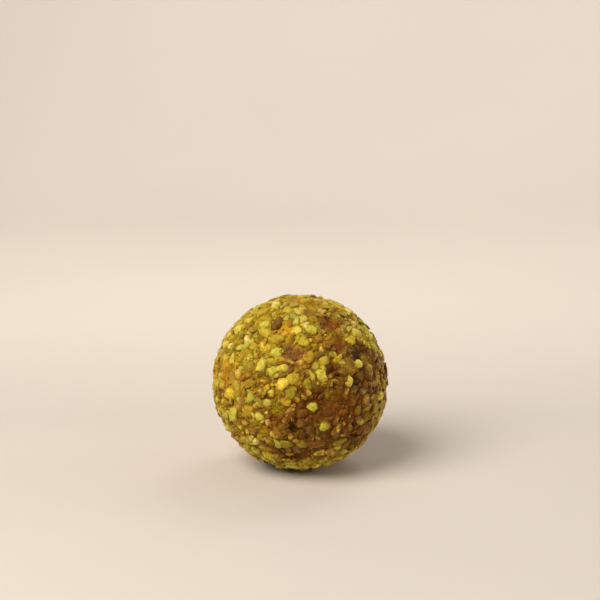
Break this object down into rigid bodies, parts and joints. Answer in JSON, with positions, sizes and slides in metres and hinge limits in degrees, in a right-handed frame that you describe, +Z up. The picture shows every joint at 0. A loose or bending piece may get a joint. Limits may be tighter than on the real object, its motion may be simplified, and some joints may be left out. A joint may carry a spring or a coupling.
{
  "type": "date ball",
  "caption": "Round sweet of date paste, coated all over in chopped pistachios pressed in by rolling; it rests on a small flat spot.",
  "frame": {"origin": "middle of the flat spot that the ball rests on, which is the middle of its box's bottom", "axes": "+Z up through the ball's middle; -Y is the side shown, with the most detail"},
  "size_m": [0.0357, 0.036, 0.0355],
  "materials": {
    "pistachio": "chopped pistachio, matte and a little oily, yellow-green to gold where the paste has stained it",
    "date_paste": "sticky date paste, semi-gloss, dark reddish brown to amber"
  },
  "bodies": {
    "root": {"date_ball": "pistachio"}
  },
  "joints": []
}
